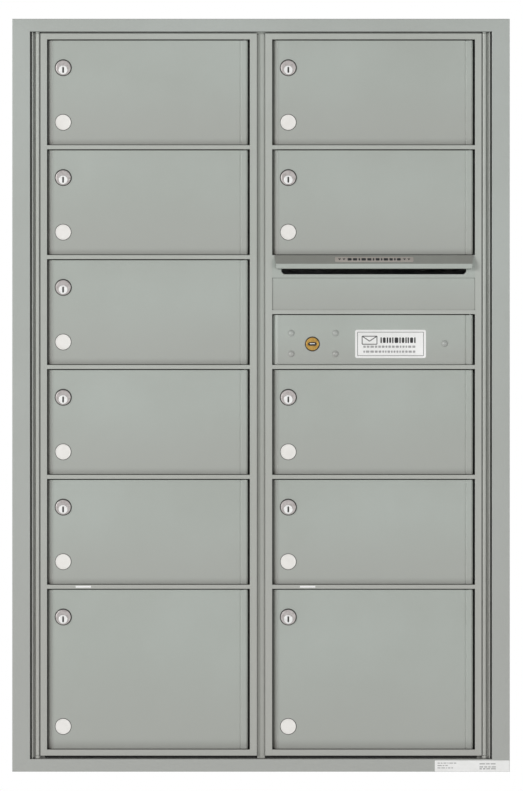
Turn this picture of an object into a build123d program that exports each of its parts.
from build123d import *
import os

os.makedirs("parts", exist_ok=True)

# A front-loading cluster mailbox that is set into a wall: two master doors, hinged at
# the outer sides, carry eleven tenant doors, an outgoing-mail slot and a postal lock.
# X runs right along the front, Y runs into the wall, Z runs up. The wall's face is
# Y = 0, and the origin is the middle of the bottom trim's back face. Millimetres.

# Heights
MODULE = 88.9               # one height module
MODULE_COUNT = 13
ROW_BASE = 21.85            # height of the line under the first module
RAIL = 6.5                  # height of a rail between two doors
MASTER_LOW = 15.4           # bottom of a master door
MASTER_HIGH = 1183.7        # top of a master door
LEFT_ROWS = [13, 11, 9, 7, 5, 3, 0]            # module lines with a rail, from the top
RIGHT_ROWS = [13, 11, 9, 8, 7, 5, 3, 0]
LEFT_DOORS = [(11, 13), (9, 11), (7, 9), (5, 7), (3, 5), (0, 3)]
RIGHT_DOORS = [(11, 13), (9, 11), (5, 7), (3, 5), (0, 3)]
SLOT_ROW = (8, 9)           # outgoing mail
ARROW_ROW = (7, 8)          # postal lock

# Trim around the opening
TRIM_HALF_WIDTH = 402.2
TRIM_SIDE = 28.8            # width of the two side strips
TRIM_END = 20.6             # width of the top and bottom strips
TRIM_HIGH = 1207.1
TRIM_DEPTH = 16.0
TRIM_WALL = 2.0
REBATE_DEPTH = 0.5          # the bottom strip is cut back where the cabinet's floor meets it
REBATE_GAP = 0.3

# Cabinet
CABINET_DEPTH = 431.8
SHEET = 2.0                 # cabinet sheet
CABINET_HALF_WIDTH = 379.0
CABINET_LOW = 4.6
CABINET_HIGH = 1191.7
DIVIDER_SHEET = 3.0
SHELF_SHEET = 1.5
SHELF_FRONT = 32.0
JAMB_FACE = 366.0           # inner face of a side jamb
JAMB_FRONT = 2.7
JAMB_BACK = 14.0
HEADER_LOW = 1178.0
HEADER_SHEET = 2.0
SILL_HIGH = 20.0
RETURN_OUTER = 373.3        # the jamb's stepped front face starts beside the trim
RETURN_FRONT = -8.0
RIB_OUTER = 370.3
RIB_INNER = 369.0
RIB_FRONT = -12.5
CHANNEL_FRONT = -6.0
HEADER_LIP_LOW = 1184.2
FACE_GAP = 0.25             # between the jamb's front parts and the trim
MULLION_HALF_WIDTH = 6.2
MULLION_FRONT = -2.5
WALL_HOLE_RADIUS = 3.5
WALL_HOLE_DEPTHS = (60.0, 380.0)
WALL_HOLE_HEIGHTS = (120.0, 1080.0)

# Master door frames
FRAME_FRONT = -10.0
FRAME_BACK = 2.3
HINGE_STILE_OUTER = 356.9
OPENING_OUTER = 346.3       # edge of a door opening at the master's hinge stile
OPENING_INNER = 18.05       # edge of a door opening at the centre
LOCK_STILE_INNER = 6.65
LIP_WIDTH = 7.0             # lip that a tenant door closes and locks against
LIP_FRONT = 0.3

# Master door hinges
HINGE_X = 361.4
HINGE_Y = -6.0
HINGE_RADIUS = 4.0
HINGE_SHEET = 1.2
HINGE_GAP = 0.3
JAMB_LEAF_BACK = 12.0
NOTCH_Y = -1.6              # the jamb leaf is notched in front of this, beside the door's barrel

# Tenant doors
DOOR_WIDTH = 323.95
DOOR_SIDE_GAP = 1.6         # gap beside the lock edge
DOOR_TOP_GAP = 1.6
DOOR_BOTTOM_GAP = 0.9
DOOR_FACE = -6.0
DOOR_SHEET = 2.5
DOOR_BEVEL = 7.3
DOOR_BEVEL_DEPTH = 3.4
GROOVE_FROM_EDGE = 12.4
GROOVE_HALF_WIDTH = 1.2
GROOVE_DEPTH = 1.0
KNUCKLE_RADIUS = 5.0
PIN_RADIUS = 1.6
PIN_SINK = 2.6              # how far a pin enters the rail
RUNNING_FIT = 0.05
SEAT_GAP = 0.05             # between separate pieces that sit against each other

# Tenant locks
LOCK_FROM_EDGE = 24.5
LOCK_FROM_TOP = 46.0
LOCK_RING_RADIUS = 12.3
LOCK_PROUD = 4.0
BARREL_RADIUS = 10.5
BARREL_END = 2.6
NUT_RADIUS = 14.5
NUT_THICKNESS = 2.8
PLUG_DROP = 3.4             # the plug sits low in its ring
PLUG_HEAD_RADIUS = 7.25
PLUG_SHANK_RADIUS = 5.5
PLUG_FACE = -10.2
PLUG_HEAD_END = -7.0
KEY_SLOT = (2.0, 9.7)
KEY_SLOT_DEPTH = 6.0
CAM_FRONT = 3.0
CAM_SHEET = 2.0
CAM_WIDTH = 10.0
CAM_REACH = 28.0
CAM_SCREW_RADIUS = 4.0
CAM_SCREW_HEAD = 2.0

# Outgoing-mail slot
HOOD_LEFT = 22.0
HOOD_RIGHT = 343.5
HOOD_TAPER = 3.0            # each end of the brow leans in by this much
HOOD_TOP = 824.9
HOOD_BROW = 810.7           # where the sloped face meets the lip
HOOD_FRONT = -25.0
SLOT_LEFT = 33.0
SLOT_RIGHT = 332.0
SLOT_TOP = 802.9
SLOT_LOW = 794.0
SLOT_CORNER = 4.0
BOSS_LOW = 787.0
BOSS_FRONT = -10.0
SLOT_PANEL_FRONT = -8.0
SLOT_PANEL_BACK = -5.0

# Postal lock
ARROW_X = 83.1
ARROW_Z = 681.4
ARROW_RADIUS = 10.6
ARROW_PLUG_FACE = -7.0
ARROW_SLOT = (14.6, 3.0)
CASE_WIDTH = 46.0
CASE_HEIGHT = 60.0
CASE_BACK = 18.0
CASE_FLANGE = (90.0, 50.0)
CASE_FLANGE_SHEET = 2.0
TAIL_REACH = 10.0
TAIL_WIDTH = 6.0
TAIL_FRONT = 19.0
TAIL_BACK = 22.0
STUD_RADIUS = 5.5
STUD_PROUD = 2.6
STUD_SHANK_RADIUS = 2.5
STUD_SHANK_END = 1.0
STUDS = [(49.1, 698.9), (120.5, 698.9), (49.1, 665.4), (120.5, 665.4), (297.4, 682.1)]

# Bolts that hold the two master doors to the header
BAR_WIDTH = 5.0
BAR_FRONT = 5.4
BAR_BACK = 10.4
BAR_GAP = 0.1
LEFT_BAR_X = -14.0
LEFT_BAR_LOW = 1060.0
LEFT_BAR_HIGH = 1176.0
LEFT_GUIDES = (1085.0, 1150.0)
RIGHT_BAR_X = 11.5
RIGHT_BAR_LOW = 640.0
RIGHT_BAR_HIGH = 1176.5
RIGHT_GUIDES = (665.0, 900.0, 1150.0)
GUIDE_HEIGHT = 12.0
GUIDE_WALL = 1.5
GUIDE_BACK = 12.4
ARM_RISE = 4.2              # the latch arm stands this far over the lock's axis
ARM_HEIGHT = 8.0
ARM_RIGHT = 95.0
THUMB_LOW = 1110.0
THUMB_HIGH = 1122.0
THUMB_BACK = 26.0


def row_line(index):
    """Height of a line between modules, counted from the bottom."""
    return ROW_BASE + index * MODULE


def front_plane(depth):
    """A plane that faces out of the wall, at a depth. Extruding comes forward."""
    return Plane.XZ.offset(-depth)


def save(piece, name):
    """Label a finished piece and write it."""
    piece.part.label = name
    export_step(piece.part, f"parts/{name}.step")


def add_block(left, right, front, back, low, high, mode=Mode.ADD):
    """A square-edged bar or plate between six faces."""
    with BuildSketch(Plane.XY.offset(low)) as outline:
        with Locations(((left + right) / 2, (front + back) / 2)):
            Rectangle(right - left, back - front)
    extrude(outline.sketch, amount=high - low, mode=mode)


def add_post(x, z, radius, front, back, mode=Mode.ADD):
    """A round piece that runs into the wall."""
    with BuildSketch(front_plane(back)) as outline:
        with Locations((x, z)):
            Circle(radius)
    extrude(outline.sketch, amount=back - front, mode=mode)


def add_rod(x, y, radius, low, high, mode=Mode.ADD):
    """A round piece that stands upright."""
    with BuildSketch(Plane.XY.offset(low)) as outline:
        with Locations((x, y)):
            Circle(radius)
    extrude(outline.sketch, amount=high - low, mode=mode)


# Trim and cabinet -------------------------------------------------------------


def side_corners(side, outer, inner, gap):
    """The four corners of one side strip of the trim."""
    low = -TRIM_END / 2 + gap
    high = TRIM_HIGH - gap
    return [
        (side * outer, low),
        (side * inner, low + TRIM_END),
        (side * inner, high - TRIM_END),
        (side * outer, high),
    ]


def make_trim_frame():
    """Four hollow strips, mitred where they meet."""
    low = -TRIM_END / 2
    inner_low = TRIM_END / 2
    inner_high = TRIM_HIGH - TRIM_END
    outer = TRIM_HALF_WIDTH
    inner = TRIM_HALF_WIDTH - TRIM_SIDE
    gap = SEAT_GAP
    strips = [
        side_corners(-1, outer, inner, gap),
        side_corners(1, outer, inner, gap),
        [(-outer, low), (outer, low), (inner, inner_low), (-inner, inner_low)],
        [(-outer, TRIM_HIGH), (outer, TRIM_HIGH), (inner, inner_high), (-inner, inner_high)],
    ]
    with BuildPart() as trim:
        for corners in strips:
            with BuildSketch(front_plane(0)):
                with BuildLine():
                    Polyline(*corners, close=True)
                make_face()
            extrude(amount=TRIM_DEPTH)
        front_edges = trim.faces().group_by(Axis.Y)[0].edges()
        visible = front_edges.filter_by(Axis.X) + front_edges.filter_by(Axis.Z)
        fillet(visible, 1.0)
        side_middle = (outer + inner) / 2
        side_core = TRIM_SIDE - 2 * TRIM_WALL
        end_core = TRIM_END - 2 * TRIM_WALL
        for x in (-side_middle, side_middle):
            add_block(x - side_core / 2, x + side_core / 2, -TRIM_DEPTH + TRIM_WALL, -TRIM_WALL,
                      inner_low + 10, inner_high - 10, mode=Mode.SUBTRACT)
        for z in (0.0, TRIM_HIGH - TRIM_END / 2):
            add_block(-inner + 10, inner - 10, -TRIM_DEPTH + TRIM_WALL, -TRIM_WALL,
                      z - end_core / 2, z + end_core / 2, mode=Mode.SUBTRACT)
        rebate = CABINET_HALF_WIDTH + REBATE_GAP
        add_block(-rebate, rebate, -REBATE_DEPTH, 0, CABINET_LOW - REBATE_GAP, inner_low,
                  mode=Mode.SUBTRACT)
    save(trim, "trim_frame")


def make_cabinet_side(name, side):
    """One side sheet, with the four screw holes that hold the box in the wall."""
    outer = side * CABINET_HALF_WIDTH
    inner = side * (CABINET_HALF_WIDTH - SHEET)
    with BuildPart() as sheet:
        add_block(min(outer, inner), max(outer, inner), 0, CABINET_DEPTH, CABINET_LOW, CABINET_HIGH)
        with BuildSketch(Plane.YZ.offset(min(outer, inner))):
            for depth in WALL_HOLE_DEPTHS:
                for height in WALL_HOLE_HEIGHTS:
                    with Locations((depth, height)):
                        Circle(WALL_HOLE_RADIUS)
        extrude(amount=SHEET, mode=Mode.SUBTRACT)
    save(sheet, name)


def make_cabinet_end(name, low):
    """The top or the bottom sheet, between the two sides."""
    half = CABINET_HALF_WIDTH - SHEET - SEAT_GAP
    with BuildPart() as sheet:
        add_block(-half, half, 0, CABINET_DEPTH, low, low + SHEET)
    save(sheet, name)


def make_cabinet_back():
    half = CABINET_HALF_WIDTH - SHEET - SEAT_GAP
    low = CABINET_LOW + SHEET + SEAT_GAP
    high = CABINET_HIGH - SHEET - SEAT_GAP
    with BuildPart() as sheet:
        add_block(-half, half, CABINET_DEPTH - SHEET, CABINET_DEPTH, low, high)
    save(sheet, "cabinet_back")


def make_centre_divider():
    """The wall between the two columns of compartments."""
    half = DIVIDER_SHEET / 2
    low = CABINET_LOW + SHEET + SEAT_GAP
    high = CABINET_HIGH - SHEET - SEAT_GAP
    back = CABINET_DEPTH - SHEET - SEAT_GAP
    with BuildPart() as divider:
        add_block(-half, half, JAMB_BACK + SEAT_GAP, back, low, high)
    save(divider, "centre_divider")


def make_centre_mullion():
    """The fixed post that shows between the two master doors."""
    face_low = TRIM_END / 2 + FACE_GAP
    face_high = HEADER_LIP_LOW - SEAT_GAP
    with BuildPart() as mullion:
        with BuildSketch(Plane.YZ.offset(-MULLION_HALF_WIDTH)):
            with BuildLine():
                Polyline(
                    (MULLION_FRONT, face_low),
                    (JAMB_FRONT - SEAT_GAP, face_low),
                    (JAMB_FRONT - SEAT_GAP, SILL_HIGH + SEAT_GAP),
                    (JAMB_BACK, SILL_HIGH + SEAT_GAP),
                    (JAMB_BACK, HEADER_LOW - SEAT_GAP),
                    (JAMB_FRONT - SEAT_GAP, HEADER_LOW - SEAT_GAP),
                    (JAMB_FRONT - SEAT_GAP, face_high),
                    (MULLION_FRONT, face_high),
                    close=True,
                )
            make_face()
        extrude(amount=2 * MULLION_HALF_WIDTH)
    save(mullion, "centre_mullion")


def make_shelves():
    """The floors between compartments, left column first."""
    back = CABINET_DEPTH - SHEET - SEAT_GAP
    near = DIVIDER_SHEET / 2 + SEAT_GAP
    far = CABINET_HALF_WIDTH - SHEET - SEAT_GAP
    with BuildPart() as shelves:
        for index in LEFT_ROWS[1:-1]:
            middle = row_line(index)
            add_block(-far, -near, SHELF_FRONT, back, middle - SHELF_SHEET / 2, middle + SHELF_SHEET / 2)
        for index in RIGHT_ROWS[1:-1]:
            middle = row_line(index)
            add_block(near, far, SHELF_FRONT, back, middle - SHELF_SHEET / 2, middle + SHELF_SHEET / 2)
    save(shelves, "shelves")


def make_jamb_frame():
    """Side jambs with a stepped face and a rib, a header strip with a lip, and a sill."""
    outer = CABINET_HALF_WIDTH - SHEET - SEAT_GAP
    low = CABINET_LOW + SHEET + SEAT_GAP
    high = CABINET_HIGH - SHEET - SEAT_GAP
    corners = [
        (RETURN_OUTER, JAMB_BACK), (RETURN_OUTER, RETURN_FRONT), (RIB_OUTER, RETURN_FRONT),
        (RIB_OUTER, RIB_FRONT), (RIB_INNER, RIB_FRONT), (RIB_INNER, CHANNEL_FRONT),
        (JAMB_FACE, CHANNEL_FRONT), (JAMB_FACE, JAMB_BACK),
    ]
    face_low = TRIM_END / 2 + FACE_GAP
    face_high = TRIM_HIGH - TRIM_END - FACE_GAP
    rail_half = JAMB_FACE - HINGE_SHEET - 3 * SEAT_GAP
    lip_half = HINGE_STILE_OUTER - SEAT_GAP
    with BuildPart() as jambs:
        with BuildSketch(Plane.XY.offset(face_low)):
            with BuildLine():
                Polyline(*corners, close=True)
            make_face()
            mirror(about=Plane.YZ)
        extrude(amount=face_high - face_low)
        for left in (-outer, JAMB_FACE):
            add_block(left, left + outer - JAMB_FACE, 2 * SEAT_GAP, JAMB_BACK, low, high)
        add_block(-rail_half, rail_half, JAMB_FRONT, JAMB_FRONT + HEADER_SHEET, HEADER_LOW, high)
        add_block(-lip_half, lip_half, CHANNEL_FRONT, JAMB_FRONT + 1, HEADER_LIP_LOW, face_high)
        add_block(-rail_half, rail_half, JAMB_FRONT, JAMB_BACK, low, SILL_HIGH)
    save(jambs, "jamb_frame")


# Master door hinges -----------------------------------------------------------


def add_hinge_leaf(side, near, back, low, high, barrels):
    """A leaf that lies along the wall depth, with a barrel on each stated stretch."""
    axis_x = side * HINGE_X
    left = min(side * near, side * (near + HINGE_SHEET))
    add_block(left, left + HINGE_SHEET, HINGE_Y, back, low, high)
    for start, end in barrels:
        add_rod(axis_x, HINGE_Y, HINGE_RADIUS, start, end)
    add_rod(axis_x, HINGE_Y, PIN_RADIUS + RUNNING_FIT, low, high, mode=Mode.SUBTRACT)


def make_hinge_jamb_leaves():
    """The fixed leaves, with a short barrel at each end and the door's barrel between."""
    low = TRIM_END / 2 + FACE_GAP
    high = TRIM_HIGH - TRIM_END - FACE_GAP
    barrels = [(low, MASTER_LOW - HINGE_GAP), (MASTER_HIGH + HINGE_GAP, high)]
    near = JAMB_FACE - SEAT_GAP - HINGE_SHEET
    with BuildPart() as leaves:
        for side in (-1, 1):
            add_hinge_leaf(side, near, JAMB_LEAF_BACK, low, high, barrels)
            left = min(side * near, side * (near + HINGE_SHEET))
            add_block(left, left + HINGE_SHEET, HINGE_Y, NOTCH_Y, MASTER_LOW - HINGE_GAP,
                      MASTER_HIGH + HINGE_GAP, mode=Mode.SUBTRACT)
    save(leaves, "hinge_jamb_leaves")


def make_hinge_door_leaf(name, side):
    """The moving leaf, with one barrel as long as the door."""
    with BuildPart() as leaf:
        add_hinge_leaf(side, HINGE_STILE_OUTER + SEAT_GAP, FRAME_BACK, MASTER_LOW, MASTER_HIGH,
                       [(MASTER_LOW, MASTER_HIGH)])
    save(leaf, name)


def make_master_hinge_pins():
    with BuildPart() as pins:
        for side in (-1, 1):
            add_rod(side * HINGE_X, HINGE_Y, PIN_RADIUS, TRIM_END / 2 + FACE_GAP,
                    TRIM_HIGH - TRIM_END - FACE_GAP)
    save(pins, "master_hinge_pins")


# Master door frames -----------------------------------------------------------


def opening_span(rows):
    """Bottom and top of the opening between two module lines."""
    return row_line(rows[0]) + RAIL / 2, row_line(rows[1]) - RAIL / 2


def opening_left(side):
    """Left edge of a column's openings."""
    return -OPENING_OUTER if side < 0 else OPENING_INNER


def hinge_axis_x(side):
    """Where the tenant doors of a column turn."""
    return opening_left(side) + DOOR_SIDE_GAP + DOOR_WIDTH - KNUCKLE_RADIUS


def hinge_axis_y():
    return DOOR_FACE + KNUCKLE_RADIUS


def make_master_frame(name, side, rows, doors):
    """Two stiles and the rails between them, each a bar of its own."""
    left = opening_left(side)
    right = left + OPENING_OUTER - OPENING_INNER
    if side < 0:
        left_outer = -HINGE_STILE_OUTER
        right_outer = -LOCK_STILE_INNER
    else:
        left_outer = LOCK_STILE_INNER
        right_outer = HINGE_STILE_OUTER
    with BuildPart() as frame:
        with BuildSketch(Plane.XY.offset(MASTER_LOW)):
            with BuildLine():
                Polyline(
                    (left_outer, FRAME_FRONT), (left, FRAME_FRONT), (left, LIP_FRONT),
                    (left + LIP_WIDTH, LIP_FRONT), (left + LIP_WIDTH, FRAME_BACK), (left_outer, FRAME_BACK),
                    close=True,
                )
            make_face()
        extrude(amount=MASTER_HIGH - MASTER_LOW)
        add_block(right, right_outer, FRAME_FRONT, FRAME_BACK, MASTER_LOW, MASTER_HIGH)
        for index in rows:
            middle = row_line(index)
            low = MASTER_LOW if index == 0 else middle - RAIL / 2
            high = MASTER_HIGH if index == MODULE_COUNT else middle + RAIL / 2
            with BuildSketch(Plane.XY.offset(low)):
                with BuildLine():
                    Polyline(
                        (left + SEAT_GAP, FRAME_FRONT), (right - SEAT_GAP, FRAME_FRONT),
                        (right - SEAT_GAP, FRAME_BACK), (left + LIP_WIDTH + SEAT_GAP, FRAME_BACK),
                        (left + LIP_WIDTH + SEAT_GAP, LIP_FRONT - SEAT_GAP),
                        (left + SEAT_GAP, LIP_FRONT - SEAT_GAP),
                        close=True,
                    )
                make_face()
            extrude(amount=high - low)
        for door in doors:
            low, high = opening_span(door)
            for start in (low - PIN_SINK - SEAT_GAP, high):
                add_rod(hinge_axis_x(side), hinge_axis_y(), PIN_RADIUS + RUNNING_FIT,
                        start, start + PIN_SINK + SEAT_GAP, mode=Mode.SUBTRACT)
    save(frame, name)


def make_door_pins(name, side, doors):
    """One hinge pin for each tenant door, held in the rails above and below."""
    with BuildPart() as pins:
        for door in doors:
            low, high = opening_span(door)
            add_rod(hinge_axis_x(side), hinge_axis_y(), PIN_RADIUS, low - PIN_SINK, high + PIN_SINK)
    save(pins, name)


# Tenant doors -----------------------------------------------------------------


def door_section(side, height):
    """A door's section: a bevelled lock edge, a panel, a groove and a rolled hinge edge."""
    left = opening_left(side) + DOOR_SIDE_GAP
    groove = left + DOOR_WIDTH - GROOVE_FROM_EDGE
    axis_x = hinge_axis_x(side)
    axis_y = hinge_axis_y()
    panel_back = DOOR_FACE + DOOR_SHEET
    bevel_front = DOOR_FACE + DOOR_BEVEL_DEPTH
    with BuildSketch(Plane.XY.offset(height)) as section:
        with BuildLine():
            arc = CenterArc((axis_x, axis_y), KNUCKLE_RADIUS, -90, 300)
            Polyline(
                arc @ 1,
                (left + DOOR_BEVEL + 1.1, panel_back),
                (left + 1.2, bevel_front + DOOR_SHEET),
                (left, bevel_front + DOOR_SHEET),
                (left, bevel_front),
                (left + DOOR_BEVEL, DOOR_FACE),
                (groove - GROOVE_HALF_WIDTH, DOOR_FACE),
                (groove, DOOR_FACE + GROOVE_DEPTH),
                (groove + GROOVE_HALF_WIDTH, DOOR_FACE),
                arc @ 0,
            )
        make_face()
        with Locations((axis_x, axis_y)):
            Circle(PIN_RADIUS + RUNNING_FIT, mode=Mode.SUBTRACT)
    return section.sketch


def make_tenant_door(name, side, rows):
    """A length of the door section, bored for its lock."""
    low, high = opening_span(rows)
    bottom = low + DOOR_BOTTOM_GAP
    lock_x = opening_left(side) + DOOR_SIDE_GAP + LOCK_FROM_EDGE
    with BuildPart() as door:
        extrude(door_section(side, bottom), amount=high - DOOR_TOP_GAP - bottom)
        add_post(lock_x, high - LOCK_FROM_TOP, BARREL_RADIUS + 2 * SEAT_GAP,
                 DOOR_FACE - 1, DOOR_FACE + DOOR_SHEET + 1, mode=Mode.SUBTRACT)
    save(door, name)


def make_tenant_lock(name, x, z):
    """A ring on the door's face, its barrel, and the nut behind the door."""
    panel_back = DOOR_FACE + DOOR_SHEET
    ring_face = DOOR_FACE - LOCK_PROUD
    with BuildPart() as lock:
        add_post(x, z, LOCK_RING_RADIUS, ring_face, DOOR_FACE)
        fillet(lock.faces().sort_by(Axis.Y)[0].edges(), 1.2)
        add_post(x, z, BARREL_RADIUS, DOOR_FACE, BARREL_END)
        add_post(x, z - PLUG_DROP, PLUG_HEAD_RADIUS + RUNNING_FIT, ring_face - 1, PLUG_HEAD_END,
                 mode=Mode.SUBTRACT)
        add_post(x, z - PLUG_DROP, PLUG_SHANK_RADIUS + RUNNING_FIT, PLUG_HEAD_END, BARREL_END,
                 mode=Mode.SUBTRACT)
        with BuildSketch(front_plane(panel_back + NUT_THICKNESS)):
            with Locations((x, z)):
                RegularPolygon(NUT_RADIUS, 6)
                Circle(BARREL_RADIUS + SEAT_GAP, mode=Mode.SUBTRACT)
        extrude(amount=NUT_THICKNESS - SEAT_GAP)
    save(lock, name)


def make_tenant_plug(name, x, z):
    """The plug that the key turns, its cam, and the cam's screw."""
    axis_z = z - PLUG_DROP
    cam_back = CAM_FRONT + CAM_SHEET
    separation = CAM_REACH - CAM_WIDTH / 2
    with BuildPart() as plug:
        add_post(x, axis_z, PLUG_HEAD_RADIUS, PLUG_FACE, PLUG_HEAD_END - SEAT_GAP)
        fillet(plug.faces().sort_by(Axis.Y)[0].edges(), 0.5)
        add_post(x, axis_z, PLUG_SHANK_RADIUS, PLUG_HEAD_END - SEAT_GAP, CAM_FRONT - SEAT_GAP)
        with BuildSketch(front_plane(PLUG_FACE + KEY_SLOT_DEPTH)):
            with Locations((x, axis_z)):
                Rectangle(*KEY_SLOT)
        extrude(amount=KEY_SLOT_DEPTH, mode=Mode.SUBTRACT)
        with BuildSketch(front_plane(cam_back)):
            with Locations((x, axis_z - separation / 2)):
                SlotCenterToCenter(separation, CAM_WIDTH, rotation=90)
        extrude(amount=CAM_SHEET)
        with BuildSketch(front_plane(cam_back + SEAT_GAP + CAM_SCREW_HEAD)):
            with Locations((x, axis_z)):
                RegularPolygon(CAM_SCREW_RADIUS, 6)
        extrude(amount=CAM_SCREW_HEAD)
    save(plug, name)


def make_tenant_set(column, side, doors):
    """Every tenant door of a column, numbered from the top, with its lock."""
    for number, rows in enumerate(doors, start=1):
        lock_x = opening_left(side) + DOOR_SIDE_GAP + LOCK_FROM_EDGE
        lock_z = opening_span(rows)[1] - LOCK_FROM_TOP
        make_tenant_door(f"{column}_door_{number}", side, rows)
        make_tenant_lock(f"{column}_lock_{number}", lock_x, lock_z)
        make_tenant_plug(f"{column}_plug_{number}", lock_x, lock_z)


# Outgoing-mail slot and postal lock -------------------------------------------


def make_outgoing_hood():
    """One casting: a flat panel with a raised upper part, a slot, and a brow over it."""
    low, high = opening_span(SLOT_ROW)
    left = OPENING_INNER + SEAT_GAP
    right = OPENING_OUTER - SEAT_GAP
    with BuildPart() as hood:
        add_block(left, right, SLOT_PANEL_FRONT, SLOT_PANEL_BACK, low + SEAT_GAP, high - SEAT_GAP)
        with BuildSketch(Plane.YZ.offset(HOOD_LEFT)):
            with BuildLine():
                Polyline(
                    (SLOT_PANEL_BACK, SLOT_TOP), (SLOT_PANEL_BACK, high - SEAT_GAP),
                    (FRAME_FRONT - SEAT_GAP, high - SEAT_GAP), (FRAME_FRONT - SEAT_GAP, HOOD_TOP),
                    (FRAME_FRONT - 2, HOOD_TOP), (HOOD_FRONT, HOOD_BROW), (HOOD_FRONT, SLOT_TOP + 1),
                    (HOOD_FRONT + 1, SLOT_TOP), close=True,
                )
            make_face()
        extrude(amount=HOOD_RIGHT - HOOD_LEFT)
        for x, lean in ((HOOD_LEFT, HOOD_TAPER), (HOOD_RIGHT, -HOOD_TAPER)):
            with BuildSketch(front_plane(SLOT_PANEL_BACK)):
                with BuildLine():
                    Polyline(
                        (x, HOOD_TOP), (x - lean, HOOD_TOP), (x - lean, SLOT_TOP),
                        (x + lean, SLOT_TOP), close=True,
                    )
                make_face()
            extrude(amount=SLOT_PANEL_BACK - HOOD_FRONT, mode=Mode.SUBTRACT)
        with BuildSketch(Plane.YZ.offset(left)):
            with BuildLine():
                Polyline(
                    (SLOT_PANEL_BACK, BOSS_LOW), (SLOT_PANEL_FRONT, BOSS_LOW), (BOSS_FRONT, BOSS_LOW + 2),
                    (BOSS_FRONT, high - SEAT_GAP), (SLOT_PANEL_BACK, high - SEAT_GAP), close=True,
                )
            make_face()
        extrude(amount=right - left)
        with BuildSketch(front_plane(SLOT_PANEL_BACK + 1)):
            with BuildLine():
                Polyline(
                    (SLOT_LEFT, SLOT_TOP), (SLOT_LEFT, SLOT_LOW + SLOT_CORNER),
                    (SLOT_LEFT + SLOT_CORNER, SLOT_LOW), (SLOT_RIGHT - SLOT_CORNER, SLOT_LOW),
                    (SLOT_RIGHT, SLOT_LOW + SLOT_CORNER), (SLOT_RIGHT, SLOT_TOP), close=True,
                )
            make_face()
        extrude(amount=40, mode=Mode.SUBTRACT)
    save(hood, "outgoing_hood")


def make_arrow_panel():
    """A fixed length of the door section that carries the postal lock."""
    low, high = opening_span(ARROW_ROW)
    bottom = low + DOOR_BOTTOM_GAP
    back = DOOR_FACE + DOOR_SHEET
    with BuildPart() as panel:
        extrude(door_section(1, bottom), amount=high - DOOR_TOP_GAP - bottom)
        add_post(ARROW_X, ARROW_Z, ARROW_RADIUS + RUNNING_FIT, DOOR_FACE, back, mode=Mode.SUBTRACT)
        for x, z in STUDS:
            add_post(x, z, STUD_SHANK_RADIUS + SEAT_GAP, DOOR_FACE, back, mode=Mode.SUBTRACT)
    save(panel, "arrow_panel")


def make_arrow_lock_case():
    """The lock's body behind the panel, on a flange that the studs hold."""
    front = DOOR_FACE + DOOR_SHEET + SEAT_GAP
    flange_back = front + CASE_FLANGE_SHEET
    half_width = CASE_WIDTH / 2
    half_height = CASE_HEIGHT / 2
    flange_x = CASE_FLANGE[0] / 2
    flange_z = CASE_FLANGE[1] / 2
    with BuildPart() as case:
        add_block(ARROW_X - half_width, ARROW_X + half_width, front, CASE_BACK,
                  ARROW_Z - half_height, ARROW_Z + half_height)
        add_block(ARROW_X - flange_x, ARROW_X + flange_x, front, flange_back,
                  ARROW_Z - flange_z, ARROW_Z + flange_z)
        add_post(ARROW_X, ARROW_Z, ARROW_RADIUS + RUNNING_FIT, front, CASE_BACK, mode=Mode.SUBTRACT)
        for x, z in STUDS[:4]:
            add_post(x, z, STUD_SHANK_RADIUS + SEAT_GAP, front, flange_back, mode=Mode.SUBTRACT)
    save(case, "arrow_lock_case")


def make_arrow_lock_plug():
    """The brass plug, with the tail that lifts the latch bar."""
    with BuildPart() as plug:
        add_post(ARROW_X, ARROW_Z, ARROW_RADIUS, ARROW_PLUG_FACE, CASE_BACK + 0.2)
        fillet(plug.faces().sort_by(Axis.Y)[0].edges(), 0.8)
        with BuildSketch(front_plane(ARROW_PLUG_FACE + 8)):
            with Locations((ARROW_X, ARROW_Z)):
                SlotOverall(*ARROW_SLOT)
                Circle(ARROW_SLOT[1] * 0.8)
        extrude(amount=8, mode=Mode.SUBTRACT)
        add_post(ARROW_X, ARROW_Z, TAIL_WIDTH / 2, CASE_BACK, TAIL_BACK)
        separation = TAIL_REACH - TAIL_WIDTH / 2
        with BuildSketch(front_plane(TAIL_BACK)):
            with Locations((ARROW_X - separation / 2, ARROW_Z)):
                SlotCenterToCenter(separation, TAIL_WIDTH)
        extrude(amount=TAIL_BACK - TAIL_FRONT)
    save(plug, "arrow_lock_plug")


def make_arrow_panel_studs():
    """Domed security studs: four hold the lock case, and one stands alone."""
    dome_radius = (STUD_RADIUS ** 2 + STUD_PROUD ** 2) / (2 * STUD_PROUD)
    crown = DOOR_FACE - STUD_PROUD
    shoulder = DOOR_FACE - SEAT_GAP
    with BuildPart() as studs:
        for x, z in STUDS:
            plane = Plane(origin=(x, 0, z), x_dir=(1, 0, 0), z_dir=(0, 0, 1))
            with BuildSketch(plane):
                with BuildLine():
                    RadiusArc((0, crown), (STUD_RADIUS, shoulder), -dome_radius)
                    Polyline((STUD_RADIUS, shoulder), (STUD_SHANK_RADIUS, shoulder),
                             (STUD_SHANK_RADIUS, STUD_SHANK_END), (0, STUD_SHANK_END), (0, crown))
                make_face()
            revolve(axis=Axis((x, 0, z), (0, 1, 0)))
    save(studs, "arrow_panel_studs")


# Bolts ------------------------------------------------------------------------


def add_bar(x, low, high):
    """A square bar that slides up behind the header."""
    add_block(x - BAR_WIDTH / 2, x + BAR_WIDTH / 2, BAR_FRONT, BAR_BACK, low, high)


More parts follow.
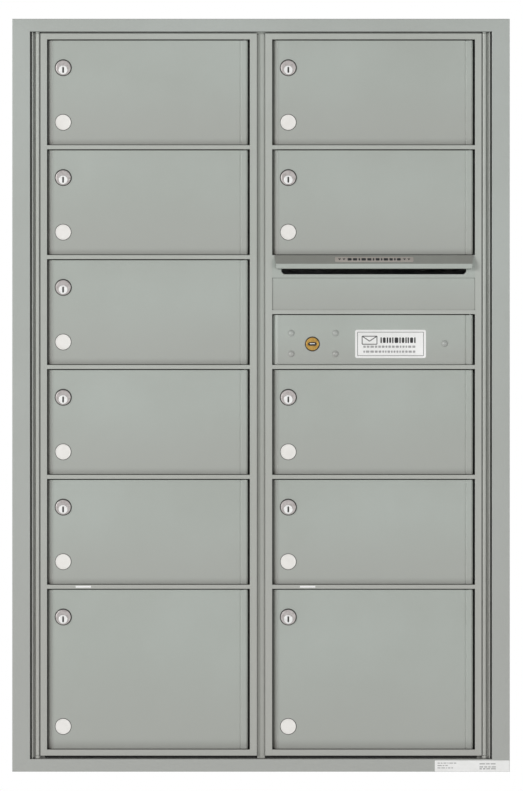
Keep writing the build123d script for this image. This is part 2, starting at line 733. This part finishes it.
def make_left_bolt():
    with BuildPart() as bolt:
        add_bar(LEFT_BAR_X, LEFT_BAR_LOW, LEFT_BAR_HIGH)
        add_block(LEFT_BAR_X - BAR_WIDTH / 2, LEFT_BAR_X + BAR_WIDTH / 2, BAR_BACK, THUMB_BACK,
                  THUMB_LOW, THUMB_HIGH)
    save(bolt, "left_bolt")


def make_latch_bar():
    """The bar behind the right master door's stile, with the arm over the lock's tail."""
    arm_low = ARROW_Z + ARM_RISE
    arm_high = arm_low + ARM_HEIGHT
    left = RIGHT_BAR_X - BAR_WIDTH / 2
    with BuildPart() as bar:
        add_bar(RIGHT_BAR_X, RIGHT_BAR_LOW, RIGHT_BAR_HIGH)
        add_block(left, left + BAR_WIDTH, BAR_FRONT, TAIL_BACK, arm_low, arm_high)
        add_block(left, ARM_RIGHT, TAIL_FRONT, TAIL_BACK, arm_low, arm_high)
    save(bar, "latch_bar")


def make_bar_guides(name, x, heights):
    """Square staples on the stile's back, that a bar slides through."""
    half = BAR_WIDTH / 2 + BAR_GAP
    with BuildPart() as guides:
        for height in heights:
            low = height - GUIDE_HEIGHT / 2
            high = height + GUIDE_HEIGHT / 2
            add_block(x - half - GUIDE_WALL, x + half + GUIDE_WALL, FRAME_BACK + SEAT_GAP, GUIDE_BACK,
                      low, high)
            add_block(x - half, x + half, BAR_FRONT - BAR_GAP, BAR_BACK + BAR_GAP, low, high,
                      mode=Mode.SUBTRACT)
    save(guides, name)


make_trim_frame()
make_cabinet_side("cabinet_left_side", -1)
make_cabinet_side("cabinet_right_side", 1)
make_cabinet_end("cabinet_bottom", CABINET_LOW)
make_cabinet_end("cabinet_top", CABINET_HIGH - SHEET)
make_cabinet_back()
make_centre_divider()
make_centre_mullion()
make_shelves()
make_jamb_frame()
make_hinge_jamb_leaves()
make_master_hinge_pins()
make_master_frame("left_frame", -1, LEFT_ROWS, LEFT_DOORS)
make_master_frame("right_frame", 1, RIGHT_ROWS, RIGHT_DOORS + [ARROW_ROW])
make_hinge_door_leaf("left_hinge_leaf", -1)
make_hinge_door_leaf("right_hinge_leaf", 1)
make_door_pins("left_door_pins", -1, LEFT_DOORS)
make_door_pins("right_door_pins", 1, RIGHT_DOORS + [ARROW_ROW])
make_tenant_set("left", -1, LEFT_DOORS)
make_tenant_set("right", 1, RIGHT_DOORS)
make_outgoing_hood()
make_arrow_panel()
make_arrow_lock_case()
make_arrow_lock_plug()
make_arrow_panel_studs()
make_left_bolt()
make_latch_bar()
make_bar_guides("left_bolt_guides", LEFT_BAR_X, LEFT_GUIDES)
make_bar_guides("latch_bar_guides", RIGHT_BAR_X, RIGHT_GUIDES)
